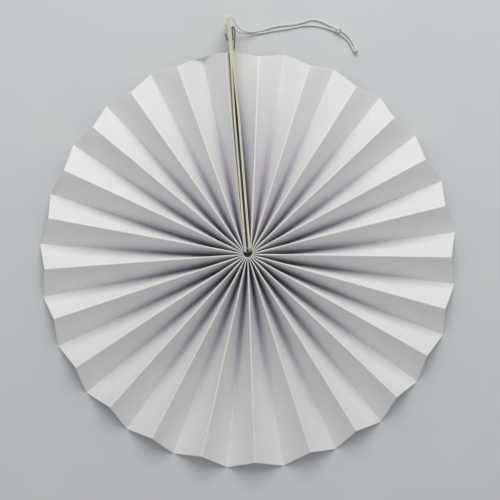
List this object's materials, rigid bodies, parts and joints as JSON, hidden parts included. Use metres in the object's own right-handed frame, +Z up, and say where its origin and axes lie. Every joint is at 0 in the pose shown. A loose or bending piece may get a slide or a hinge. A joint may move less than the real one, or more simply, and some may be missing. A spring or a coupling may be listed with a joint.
{
  "type": "paper fan rosette",
  "caption": "Pleated paper fan opened into a full round rosette, with two stiff end boards side by side, a wire tie and a doubled hanging cord.",
  "frame": {"origin": "centre of the hub on the plane the fan lies on", "axes": "+Z up, square to the fan; +Y from the hub along the two end boards; +X to the right seen from above"},
  "size_m": [0.2991, 0.3247, 0.024],
  "materials": {
    "white_paper": "matte",
    "cream_board": "matte",
    "thread": "matte",
    "steel_wire": "satin",
    "white_cord": "matte"
  },
  "bodies": {
    "root": {"pleated_paper": "white_paper", "left_board": "cream_board", "right_board": "cream_board", "hub_thread": "thread", "wire_tie": "steel_wire", "hanging_cord_left": "white_cord", "hanging_cord_right": "white_cord", "cord_knot": "white_cord", "cord_end_knot": "white_cord"}
  },
  "joints": []
}
